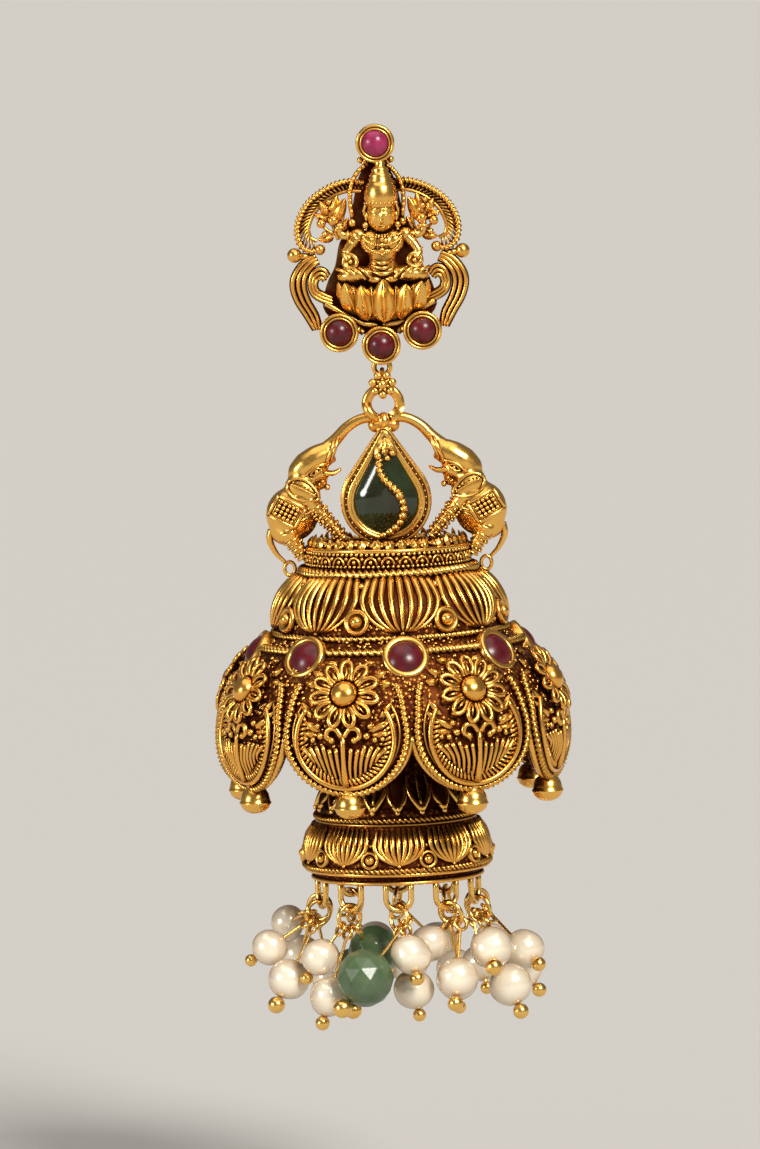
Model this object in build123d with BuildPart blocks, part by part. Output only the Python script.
from build123d import *
import os
from math import cos, radians, sin

# A temple jhumka earring. Millimetres, +Z up, the front faces -Y.
# The origin is on the stud's flat back, where the ear post starts.
# A stud carries a flower link, the link carries the elephant crest with its bell,
# and a smaller bell with pearls hangs from a ring inside the first one.

# ---- Driving dimensions -------------------------------------------------------------

GAP = 0.04              # play between threaded wires, and between a stone and its seat
HANG_Y = -1.0           # the upright plane in which the whole drop hangs

# Stud
STUD_BACK = 0.9         # thickness of the openwork at its flat back
POST_R = 0.45
POST_LENGTH = 11.0
COLLET_R = 1.45         # round collets of the stud
COLLET_DEPTH = 2.1
STUD_RUBY_R = 0.98
COLLET_TOP_Z = 7.7
COLLET_SIDE = (3.15, -6.5)
COLLET_LOW_Z = -7.55

# Upper chain: stud ring, flower link and the crest's loop
SWING_Z = -9.83         # lowest wire of the stud ring, where the link swings fore and aft
STUD_RING_R = 0.6
STUD_RING_WIRE = 0.2
LINK_R = 1.0
LINK_WIRE = 0.18
LOOP_R = 1.25
LOOP_WIRE = 0.38
FLOWER_Z = -10.3
GRANULE_R = 0.33

# Crest
PEAR_Z = -19.3          # centre of the pear collet's round end
PEAR_R = 3.3
PEAR_TIP_Z = -14.2
PEAR_TIP_R = 0.4
PEAR_DEPTH = 3.0        # front to back, centred on the hanging plane
PEAR_WALL = 0.85
PEAR_SEAT = 1.6         # how deep the stone sits in the collet
PEAR_DOME = 0.9         # how far the stone swells in front of the collet
KNOB_R = 0.5            # lying knob between loop and collet, where the trunks meet
KNOB_SIDE = 0.7
KNOB_Z = -13.65

# Bell
SHELL = 0.8             # wall of both bells
BELL_FOLD = 8           # petals, rubies and medallions around the bell
BELL_TURN = 6.0         # degrees by which the front petal stands off the front
NECK_TOP_Z = -22.6
NECK_R = 6.0
NECK_LOW_Z = -24.2
ROPE_R = 0.29           # twisted wire around the neck
DOME_LOW = (8.7, -29.2)
SKIRT_WIDE = (13.0, -36.4)
SKIRT_LOW = (12.1, -40.3)
LOBE_R = 5.1            # round foot of each medallion
RUBY_R = 1.3
RUBY_COLLET_R = 1.75
RUBY_PLACE = (10.4, -30.3)
RUBY_TILT = 32.0        # degrees by which the rubies look up
BALL_R = 1.0
BALL_PLACE = (12.0, -41.2)

# Inner chain: the bell's eye, the hanging ring and the lower bell's eye
EYE_R = 1.0
EYE_WIRE = 0.3
HANGER_R = 1.3
HANGER_WIRE = 0.25
EYE_Z = -24.0

# Lower bell
CAP_TOP_Z = -34.0
CAP_LOW = (5.8, -42.6)
BAND_TOP = (5.9, -43.1)
BAND_LOW = (6.95, -46.8)
RIM_R = 6.3
RIM_LOW_Z = -47.9
LOWER_FOLD = 10         # petals and hanging loops around the lower bell
HOOP_R = 0.95
HOOP_WIRE = 0.2
HOOP_Z = -48.95         # centre of each hoop's round end
HOOP_PLACE_R = 6.1

# Dangles: jump rings and headpins
JUMP_R = 0.97
JUMP_WIRE = 0.17
PIN_EYE_R = 0.5
PIN_WIRE = 0.14
PIN_STEM = 0.12
DRILL_R = 0.16

# How each hoop's jump ring hangs, in degrees: swung out from the axis, swung towards
# the next hoop, and turned about its own upright.
JUMP_RINGS = (
    # hoop, out, along, turned
    (0, 8, 0, 40),
    (1, 5, 22, 15),
    (2, 18, 0, -20),
    (3, 15, 10, 10),
    (4, 12, 0, 25),
    (5, 15, 5, -15),
    (6, 12, -5, 20),
    (7, 15, 0, -10),
    (8, 20, -8, 10),
    (9, 8, -6, -20),
)

# Where each bead hangs: right of the axis, in front of it, and its height, then its
# radius, the radius of the ball under it, and the spot on the jump ring that its pin
# hangs from, in degrees from the ring's lowest point towards the outside.
BEADS = (
    # name, hoop, right, front, height, radius, ball, spot
    ("pearl_1", 0, 0.8, 8.0, -53.0, 1.55, 0.50, 38),
    ("pearl_2", 0, 0.9, 6.1, -55.9, 1.55, 0.45, -2),
    ("green_bead_1", 0, -2.7, 8.4, -54.6, 2.2, 0.68, 78),
    ("pearl_3", 1, 2.2, 5.0, -52.6, 1.5, 0.42, -40),
    ("pearl_4", 1, 4.2, 7.6, -54.9, 1.6, 0.55, 38),
    ("pearl_5", 1, 4.3, 4.6, -55.6, 1.5, 0.45, -2),
    ("pearl_6", 2, 6.9, 5.6, -53.0, 1.65, 0.60, 38),
    ("pearl_7", 2, 8.2, 3.6, -56.1, 1.65, 0.55, -2),
    ("pearl_8", 3, 9.4, 1.2, -53.7, 1.55, 0.50, 38),
    ("pearl_9", 3, 9.3, -1.6, -55.6, 1.55, 0.50, -2),
    ("pearl_10", 3, 6.2, -0.4, -54.9, 1.55, 0.45, -40),
    ("pearl_11", 4, 7.0, -5.2, -54.0, 1.55, 0.50, 38),
    ("pearl_12", 4, 4.2, -4.6, -55.9, 1.55, 0.45, -2),
    ("pearl_13", 5, 2.9, -8.3, -54.2, 1.6, 0.50, 38),
    ("pearl_14", 5, 0.6, -5.6, -55.5, 1.55, 0.45, -2),
    ("pearl_15", 6, -1.9, -8.6, -54.0, 1.55, 0.50, 38),
    ("green_bead_2", 6, -3.7, -5.2, -56.2, 2.1, 0.60, -2),
    ("pearl_16", 7, -7.6, -5.2, -54.4, 1.55, 0.50, 38),
    ("pearl_17", 7, -5.4, -1.9, -55.8, 1.55, 0.45, -2),
    ("pearl_18", 8, -8.5, -2.4, -51.6, 1.35, 0.45, 78),
    ("pearl_19", 8, -9.9, 1.2, -53.0, 1.4, 0.42, 38),
    ("pearl_20", 8, -8.5, 3.1, -55.2, 1.6, 0.60, -2),
    ("pearl_21", 9, -6.0, 5.0, -53.4, 1.5, 0.45, 38),
    ("pearl_22", 9, -5.4, 6.3, -56.2, 1.6, 0.50, -2),
    ("green_bead_3", 9, -2.0, 2.3, -53.4, 2.0, 0.50, -42),
)

os.makedirs("parts", exist_ok=True)


def write(piece, name):
    """Label a finished piece and write its STEP file."""
    piece.label = name
    export_step(piece, f"parts/{name}.step")


# ---- Shapes that come back in several pieces ----------------------------------------


def ring(radius, wire, centre, hole_axis, seam=None):
    """A closed round ring whose hole looks along hole_axis, its seam on one side."""
    with BuildPart(Plane(origin=centre, x_dir=seam, z_dir=hole_axis)) as shape:
        Torus(radius, wire)
    return shape.part


def stem(start, end, radius):
    """A straight round stem with square ends."""
    run = Vector(*end) - Vector(*start)
    with BuildPart(Plane(origin=start, z_dir=run)) as shape:
        Cylinder(radius, run.length, align=(Align.CENTER, Align.CENTER, Align.MIN))
    return shape.part


def rod(start, end, radius):
    """A straight round rod with rounded ends, turned from one outline."""
    run = Vector(*end) - Vector(*start)
    bow = radius * 0.5**0.5
    with BuildPart() as shape:
        with BuildSketch(Plane.XZ):
            with BuildLine():
                ThreePointArc((0, -radius), (bow, -bow), (radius, 0))
                Line((radius, 0), (radius, run.length))
                ThreePointArc(
                    (radius, run.length), (bow, run.length + bow), (0, run.length + radius)
                )
                Line((0, run.length + radius), (0, -radius))
            make_face()
        revolve(axis=Axis.Z)
    return shape.part.moved(Plane(origin=start, z_dir=run).location)


def bent_wire(start, middle, end, radius):
    """A round wire bent along the arc through three points."""
    with BuildPart() as shape:
        with BuildLine() as path:
            ThreePointArc(start, middle, end)
        with BuildSketch(Plane(origin=path.line @ 0, z_dir=path.line % 0)):
            Circle(radius)
        sweep(path=path.line)
    return shape.part


def ball(centre, radius, pole=(0, 0, 1)):
    """A plain ball, its pole turned to a pin or wire that runs into it."""
    with BuildPart(Plane(origin=centre, z_dir=pole)) as shape:
        Sphere(radius)
    return shape.part


def cabochon(centre, look, radius, deep, dome):
    """A round stone, flat below, domed above, its girdle level with the rim."""
    curve_r = (radius**2 + dome**2) / (2 * dome)
    with BuildPart(Plane(origin=centre, z_dir=look)) as shape:
        Cylinder(radius, deep, align=(Align.CENTER, Align.CENTER, Align.MAX))
        Cylinder(radius, dome, align=(Align.CENTER, Align.CENTER, Align.MIN))
        with Locations((0, 0, dome - curve_r)):
            Sphere(curve_r, mode=Mode.INTERSECT)
    return shape.part


def pear(plane, radius, tip_radius):
    """A pear outline: a round foot and a small round tip, joined by straight flanks."""
    with BuildSketch(plane) as outline:
        with Locations((0, PEAR_Z)):
            Circle(radius)
        with Locations((0, PEAR_TIP_Z)):
            Circle(tip_radius)
        make_hull()
    return outline.sketch


# ---- Places worked out from the dimensions ------------------------------------------

FRONT = (0, -1, 0)
stud_ring_z = SWING_Z + STUD_RING_R
link_z = SWING_Z + STUD_RING_WIRE + LINK_WIRE + GAP - LINK_R
sway_z = link_z - LINK_R
loop_z = sway_z + LINK_WIRE + LOOP_WIRE + GAP - LOOP_R
tilt_z = EYE_Z - EYE_R
hanger_z = tilt_z + EYE_WIRE + HANGER_WIRE + GAP - HANGER_R
roll_z = hanger_z - HANGER_R
lower_eye_z = roll_z + HANGER_WIRE + EYE_WIRE + GAP - EYE_R
print("link swings at", round(SWING_Z, 3), "drop sways at", round(sway_z, 3))
print("hanging ring tilts at", round(tilt_z, 3), "lower bell rolls at", round(roll_z, 3))

collet_places = {
    "ruby_top": (0, -COLLET_DEPTH, COLLET_TOP_Z),
    "ruby_stud_left": (-COLLET_SIDE[0], -COLLET_DEPTH, COLLET_SIDE[1]),
    "ruby_stud_right": (COLLET_SIDE[0], -COLLET_DEPTH, COLLET_SIDE[1]),
    "ruby_stud_low": (0, -COLLET_DEPTH, COLLET_LOW_Z),
}

# ---- Stud ---------------------------------------------------------------------------

figure = [
    rod((0, -1.4, 4.6), (0, -1.4, 2.4), 1.3),
    rod((-0.9, -1.2, 0.4), (0.9, -1.2, 0.4), 1.15),
    rod((-2.4, -1.3, -2.1), (2.4, -1.3, -2.1), 0.95),
    rod((-2.2, -1.0, -4.2), (2.2, -1.0, -4.2), 1.6),
    ball((0, -0.8, 6.1), 0.8),
]
limbs = []
for side in (-1, 1):
    limbs += [
        bent_wire((side * 1.2, -0.6, 4.9), (side * 5.6, -0.6, 3.6), (side * 4.5, -0.6, -0.6), 0.45),
        bent_wire((side * 5.0, -0.6, -0.9), (side * 6.3, -0.6, -3.4), (side * 4.0, -0.6, -6.6), 0.5),
        bent_wire((side * 3.9, -0.6, -1.5), (side * 5.2, -0.6, -2.8), (side * 3.4, -0.6, -4.4), 0.4),
        rod((side * 4.5, -0.6, -0.6), (side * 6.3, -0.8, -0.6), 0.35),
        rod((side * 4.4, -0.6, -0.6), (side * 4.0, -0.6, -1.6), 0.4),
        rod((side * 1.6, -1.0, 0.9), (side * 3.6, -1.2, 0.9), 0.4),
        rod((side * 3.6, -1.2, 0.9), (side * 3.5, -1.0, 3.0), 0.4),
        rod((side * 3.5, -1.0, 3.0), (side * 5.2, -0.7, 3.9), 0.35),
        rod((side * 3.6, -0.7, 0.9), (side * 5.4, -0.6, 0.7), 0.35),
        rod((side * 1.6, -1.0, 0.2), (side * 2.6, -1.4, -1.05), 0.4),
        ball((side * 2.6, -1.6, -1.05), 0.6),
        ball((side * 6.35, -0.8, -0.6), 0.52),
        ball((side * 3.5, -1.1, 3.0), 0.75),
    ]

with BuildPart() as stud_setting:
    with BuildSketch(Plane.XZ):
        with Locations((0, 2.6)):
            Ellipse(1.6, 3.2)
        with Locations((0, 0.2)):
            Ellipse(2.3, 1.9)
        Polygon((-3.4, -2.4), (3.4, -2.4), (3.9, -6.5), (0, -7.6), (-3.9, -6.5), align=None)
        with Locations((0, -2.0)):
            Rectangle(2.6, 2.6)
        with Locations((0, 6.4)):
            Rectangle(1.2, 1.8)
    extrude(amount=STUD_BACK)
    add(figure + limbs)
    # Everything behind the back's plane goes, so that the stud lies flat on the ear.
    with Locations((0, 0, 0)):
        Box(
            20, 6, 30, align=(Align.CENTER, Align.MIN, Align.CENTER), mode=Mode.SUBTRACT
        )
    for centre in collet_places.values():
        with Locations(Plane(origin=centre, z_dir=FRONT)):
            Cylinder(
                COLLET_R, COLLET_DEPTH, align=(Align.CENTER, Align.CENTER, Align.MAX)
            )
    for centre in collet_places.values():
        with Locations(Plane(origin=centre, z_dir=FRONT)):
            Cylinder(
                STUD_RUBY_R + GAP,
                0.8,
                align=(Align.CENTER, Align.CENTER, Align.MAX),
                mode=Mode.SUBTRACT,
            )
            # The room over each seat is cleared of the petals beside it.
            Cylinder(
                STUD_RUBY_R + GAP,
                2.0,
                align=(Align.CENTER, Align.CENTER, Align.MIN),
                mode=Mode.SUBTRACT,
            )
    add(ring(STUD_RING_R, STUD_RING_WIRE, (0, HANG_Y, stud_ring_z), FRONT))
write(stud_setting.part, "stud_setting")

with BuildPart(Plane.XZ) as ear_post:
    Cylinder(POST_R, POST_LENGTH, align=(Align.CENTER, Align.CENTER, Align.MAX))
    fillet(ear_post.faces().sort_by(Axis.Y)[-1].edges(), 0.2)
write(ear_post.part, "ear_post")

for name, (x, y, z) in collet_places.items():
    stone = cabochon((x, y, z), FRONT, STUD_RUBY_R, 0.8 - GAP, 0.55)
    write(stone, name)

# ---- Flower link --------------------------------------------------------------------

flower_y = HANG_Y - LINK_R - LINK_WIRE - 0.15
with BuildPart() as flower_link:
    add(ring(LINK_R, LINK_WIRE, (0, HANG_Y, link_z), (1, 0, 0)))
    with Locations((0, flower_y, FLOWER_Z)):
        Sphere(0.42)
    with Locations(Plane(origin=(0, flower_y, FLOWER_Z), z_dir=FRONT)):
        Cylinder(0.72, 0.24)
        with PolarLocations(0.72, 7):
            Sphere(GRANULE_R)
write(flower_link.part, "flower_link")

# ---- Crest: loop, pear collet and elephants -----------------------------------------


def beside(right, height, off=0.0):
    """A point of the right elephant; off is its distance behind the hanging plane."""
    return (right, HANG_Y + off, height)


pear_back = Plane.XZ.offset(-HANG_Y - PEAR_DEPTH / 2)
pear_rim = Plane.XZ.offset(-HANG_Y + PEAR_DEPTH / 2)
with BuildPart() as pear_setting:
    with BuildLine(Plane.XZ.offset(-HANG_Y)) as loop_line:
        arch = ThreePointArc((-LOOP_R, loop_z), (0, loop_z + LOOP_R), (LOOP_R, loop_z))
        TangentArc(arch @ 1, (0.35, -13.15), tangent=(0, -1))
        TangentArc(arch @ 0, (-0.35, -13.15), tangent=(0, -1))
    route = Wire(loop_line.edges())
    with BuildSketch(Plane(origin=route @ 0, z_dir=route % 0)):
        Circle(LOOP_WIRE)
    sweep(path=route)
    with Locations((0, HANG_Y, -13.3)):
        Sphere(KNOB_R)
    add(rod(beside(-KNOB_SIDE, KNOB_Z), beside(KNOB_SIDE, KNOB_Z), KNOB_R))
    extrude(pear(pear_back, PEAR_R, PEAR_TIP_R), amount=PEAR_DEPTH)
    seat = pear(pear_rim, PEAR_R - PEAR_WALL, PEAR_TIP_R / 2)
    extrude(seat, amount=-PEAR_SEAT, mode=Mode.SUBTRACT)
write(pear_setting.part, "pear_setting")

# The trunk's end stops a hair short of the knob, and the feet stand on the neck.
trunk_end = beside(KNOB_SIDE + KNOB_R + 2 * GAP, KNOB_Z)
elephant_parts = [
    rod(beside(7.0, -19.2), beside(7.6, -20.9), 1.65),
    rod(beside(5.5, -16.7), beside(4.9, -17.6), 1.2),
    ball(beside(6.4, -18.5), 1.45),
    ball(beside(3.85, -15.0), 0.75),
    bent_wire(beside(4.9, -16.4), beside(3.5, -14.4), trunk_end, 0.42),
    bent_wire(beside(8.7, -21.0), beside(9.0, -22.8), beside(7.9, -24.0), 0.22),
    ring(0.4, 0.14, beside(7.55, -24.35), FRONT),
]
for off in (-0.85, 0.85):
    elephant_parts.append(rod(beside(6.3, -19.6, off), beside(4.2, -22.3, off), 0.62))
    elephant_parts.append(rod(beside(7.4, -21.2, off), beside(5.2, -22.5, off), 0.62))
slope = radians(30)
cloth = Plane(origin=beside(7.4, -20.1), x_dir=(cos(slope), 0, -sin(slope)), z_dir=FRONT)
with BuildPart(cloth) as saddle:
    Box(2.7, 2.7, 3.5)
elephant_parts.append(saddle.part)

with BuildPart() as elephant_right:
    for piece in elephant_parts:
        add(piece, clean=False)
    with BuildSketch(Plane.XY.offset(NECK_TOP_Z)):
        with Locations((0, HANG_Y)):
            Circle(NECK_R)
    extrude(amount=-1.5, mode=Mode.SUBTRACT, clean=False)
write(elephant_right.part, "elephant_right")

with BuildPart() as elephant_left:
    add(mirror(elephant_right.part, about=Plane.YZ, mode=Mode.PRIVATE))
write(elephant_left.part, "elephant_left")

stone_back = Plane.XZ.offset(-HANG_Y + PEAR_DEPTH / 2 - PEAR_SEAT + GAP)
with BuildPart() as pear_stone:
    extrude(
        pear(stone_back, PEAR_R - PEAR_WALL - GAP, PEAR_TIP_R / 2 - GAP), amount=PEAR_SEAT
    )
    extrude(pear_stone.faces().sort_by(Axis.Y)[0], amount=PEAR_DOME, taper=45)
write(pear_stone.part, "pear_stone")

# ---- Bell ---------------------------------------------------------------------------


def around(turn, from_axis, height):
    """A point on a round body: degrees from the front towards +X, and its radius."""
    angle = radians(turn)
    return (from_axis * sin(angle), HANG_Y - from_axis * cos(angle), height)


def outward(turn, lift=0.0):
    """The direction away from the axis at that turn, lifted by some degrees."""
    level = cos(radians(lift))
    angle = radians(turn)
    return (level * sin(angle), -level * cos(angle), sin(radians(lift)))


axis_plane = Plane(origin=(0, HANG_Y, 0), x_dir=(1, 0, 0), z_dir=FRONT)
hang_axis = Axis((0, HANG_Y, 0), (0, 0, 1))
fold_step = 360 / BELL_FOLD
ruby_turns = [BELL_TURN + fold_step * k for k in range(BELL_FOLD)]
lobe_turns = [turn + fold_step / 2 for turn in ruby_turns]
lobe_half = SKIRT_WIDE[0] * sin(radians(fold_step / 2))
lobe_z = SKIRT_LOW[1] + LOBE_R
notch_z = lobe_z - (LOBE_R**2 - lobe_half**2) ** 0.5

with BuildPart() as bell:
    with BuildSketch(axis_plane):
        with BuildLine():
            Polyline(
                (0, NECK_TOP_Z - SHELL),
                (0, NECK_TOP_Z),
                (NECK_R, NECK_TOP_Z),
                (NECK_R, NECK_LOW_Z),
                (6.5, -24.8),
            )
            ThreePointArc((6.5, -24.8), (8.0, -26.6), DOME_LOW)
            ThreePointArc(DOME_LOW, (11.6, -32.1), SKIRT_WIDE)
            ThreePointArc(SKIRT_WIDE, (12.85, -38.5), SKIRT_LOW)
            Line(SKIRT_LOW, (SKIRT_LOW[0] - SHELL, SKIRT_LOW[1]))
            ThreePointArc(
                (SKIRT_LOW[0] - SHELL, SKIRT_LOW[1]),
                (12.85 - SHELL, -38.5),
                (SKIRT_WIDE[0] - SHELL, SKIRT_WIDE[1]),
            )
            ThreePointArc(
                (SKIRT_WIDE[0] - SHELL, SKIRT_WIDE[1]),
                (11.1 - SHELL, -32.7),
                (DOME_LOW[0] - SHELL, DOME_LOW[1] - 0.4),
            )
            ThreePointArc(
                (DOME_LOW[0] - SHELL, DOME_LOW[1] - 0.4), (7.1, -26.8), (5.6, -25.2)
            )
            Polyline(
                (5.6, -25.2), (5.2, -24.6), (5.2, NECK_TOP_Z - SHELL), (0, NECK_TOP_Z - SHELL)
            )
        make_face()
    revolve(axis=hang_axis)
    add(ring(NECK_R + 0.1, ROPE_R, (0, HANG_Y, -24.5), (0, 0, 1)))
    # The skirt's foot is scalloped: what lies between two round lobes is cut away.
    for turn in ruby_turns:
        level = (cos(radians(turn)), sin(radians(turn)), 0)
        face = Plane(origin=around(turn, 8, 0), x_dir=level, z_dir=outward(turn))
        with BuildSketch(face):
            with BuildLine():
                low = SKIRT_LOW[1] - 1.0
                swing = LOBE_R * sin(radians(38))
                drop = LOBE_R * cos(radians(38))
                for side in (-1, 1):
                    ThreePointArc(
                        (0, notch_z),
                        (side * (lobe_half - swing), lobe_z - drop),
                        (side * lobe_half, lobe_z - LOBE_R),
                    )
                    Line((side * lobe_half, lobe_z - LOBE_R), (side * lobe_half, low))
                Line((-lobe_half, low), (lobe_half, low))
            make_face()
        extrude(amount=8, mode=Mode.SUBTRACT)
    for turn in lobe_turns:
        foot = around(turn, BALL_PLACE[0] - 0.1, SKIRT_LOW[1] + 0.4)
        add(rod(foot, around(turn, *BALL_PLACE), 0.45))
        add(ball(around(turn, *BALL_PLACE), BALL_R))
    for turn in ruby_turns:
        rim = Plane(origin=around(turn, *RUBY_PLACE), z_dir=outward(turn, RUBY_TILT))
        with Locations(rim):
            Cylinder(RUBY_COLLET_R, 1.5, align=(Align.CENTER, Align.CENTER, Align.MAX))
            Cylinder(
                RUBY_R + GAP,
                0.8,
                align=(Align.CENTER, Align.CENTER, Align.MAX),
                mode=Mode.SUBTRACT,
            )
    add(ring(EYE_R, EYE_WIRE, (0, HANG_Y, EYE_Z), FRONT))
write(bell.part, "bell")

for number, turn in enumerate(ruby_turns, start=1):
    stone = cabochon(
        around(turn, *RUBY_PLACE), outward(turn, RUBY_TILT), RUBY_R, 0.8 - GAP, 0.5
    )
    write(stone, f"bell_ruby_{number}")

hanging_ring = ring(HANGER_R, HANGER_WIRE, (0, HANG_Y, hanger_z), (1, 0, 0))
write(hanging_ring, "hanging_ring")

# ---- Lower bell ---------------------------------------------------------------------

hoop_turns = [360 / LOWER_FOLD * k for k in range(LOWER_FOLD)]

with BuildPart() as lower_bell:
    with BuildSketch(axis_plane):
        with BuildLine():
            Line((0, CAP_TOP_Z), (0.9, CAP_TOP_Z))
            ThreePointArc((0.9, CAP_TOP_Z), (3.9, -38.9), CAP_LOW)
            Line(CAP_LOW, BAND_TOP)
            ThreePointArc(BAND_TOP, (6.65, -44.9), BAND_LOW)
            Polyline(
                BAND_LOW,
                (RIM_R, -47.1),
                (RIM_R, RIM_LOW_Z),
                (RIM_R - SHELL, RIM_LOW_Z),
                (RIM_R - SHELL, -46.6),
            )
            ThreePointArc(
                (RIM_R - SHELL, -46.6), (5.7, -44.9), (BAND_TOP[0] - SHELL, BAND_TOP[1])
            )
            Line((BAND_TOP[0] - SHELL, BAND_TOP[1]), (CAP_LOW[0] - SHELL - 0.1, CAP_LOW[1]))
            ThreePointArc(
                (CAP_LOW[0] - SHELL - 0.1, CAP_LOW[1]), (3.1, -39.3), (0, CAP_TOP_Z - SHELL)
            )
            Line((0, CAP_TOP_Z - SHELL), (0, CAP_TOP_Z))
        make_face()
    revolve(axis=hang_axis)
    add(ring(6.0, 0.2, (0, HANG_Y, -43.1), (0, 0, 1)))
    add(ring(6.95, 0.2, (0, HANG_Y, -46.8), (0, 0, 1)))
    add(ring(EYE_R, EYE_WIRE, (0, HANG_Y, lower_eye_z), FRONT))
    add(rod((0, HANG_Y, lower_eye_z - EYE_R - 0.1), (0, HANG_Y, CAP_TOP_Z - 0.3), 0.5))
    for turn in hoop_turns:
        side = Vector(cos(radians(turn)), sin(radians(turn)), 0) * HOOP_R
        centre = Vector(*around(turn, HOOP_PLACE_R, HOOP_Z))
        rise = Vector(0, 0, RIM_LOW_Z + 0.3 - HOOP_Z)
        with BuildLine() as hoop_line:
            down = Line(centre - side + rise, centre - side)
            foot = ThreePointArc(centre - side, centre - Vector(0, 0, HOOP_R), centre + side)
            Line(foot @ 1, centre + side + rise)
        with BuildSketch(Plane(origin=down @ 0, z_dir=down % 0)):
            Circle(HOOP_WIRE)
        sweep(path=hoop_line.line)
write(lower_bell.part, "lower_bell")

# ---- Dangles and beads --------------------------------------------------------------


def jump_ring_frame(hoop, out, along, turned):
    """The hook point, hanging direction, centre and hole direction of a jump ring."""
    turn = hoop_turns[hoop]
    outer = Vector(*outward(turn))
    level = Vector(cos(radians(turn)), sin(radians(turn)), 0)
    hook_z = HOOP_Z - HOOP_R + HOOP_WIRE + JUMP_WIRE + GAP
    hook = Vector(*around(turn, HOOP_PLACE_R, hook_z))
    hang = Vector(0, 0, -1) + outer * sin(radians(out)) + level * sin(radians(along))
    hang = hang.normalized()
    hole = level.rotate(Axis((0, 0, 0), (0, 0, 1)), turned)
    hole = (hole - hang * hole.dot(hang)).normalized()
    return hook + hang * JUMP_R, hang, hole


def headpin(centre, hang, hole, bead_centre, bead_r, ball_r, spot):
    """A pin whose eye holds the jump ring's wire, with its ball under the bead."""
    outer = hole.cross(hang)
    if outer.dot(Vector(bead_centre.X, bead_centre.Y - HANG_Y, 0)) < 0:
        outer = outer * -1
    wire_spot = centre + (hang * cos(radians(spot)) + outer * sin(radians(spot))) * JUMP_R
    drop = (bead_centre - wire_spot).normalized()
    along_wire = hole.cross(wire_spot - centre).normalized()
    eye_hole = (along_wire - drop * along_wire.dot(drop)).normalized()
    nip = JUMP_WIRE + PIN_WIRE + GAP
    eye_centre = wire_spot + drop * (PIN_EYE_R - nip)
    tip = bead_centre + drop * (bead_r + ball_r - 0.05)
    with BuildPart() as pin:
        add(ring(PIN_EYE_R, PIN_WIRE, eye_centre, eye_hole, seam=drop * -1))
        add(stem(eye_centre + drop * PIN_EYE_R, tip, PIN_STEM))
        add(ball(tip, ball_r, pole=drop))
    return pin.part, drop


def drilled_bead(centre, radius, drill):
    """A round bead drilled through along its pin."""
    with BuildPart(Plane(origin=centre, z_dir=drill)) as bead:
        Sphere(radius)
        Cylinder(DRILL_R, 2.5 * radius, mode=Mode.SUBTRACT)
    return bead.part


for hoop, out, along, turned in JUMP_RINGS:
    centre, hang, hole = jump_ring_frame(hoop, out, along, turned)
    dangle = [ring(JUMP_R, JUMP_WIRE, centre, hole)]
    for name, on_hoop, right, front, height, radius, ball_r, spot in BEADS:
        if on_hoop != hoop:
            continue
        place = Vector(right, HANG_Y - front, height)
        pin, drill = headpin(centre, hang, hole, place, radius, ball_r + 0.05, spot)
        dangle.append(pin)
        write(drilled_bead(place, radius, drill), name)
    write(Compound(children=dangle), f"dangle_{hoop + 1}")
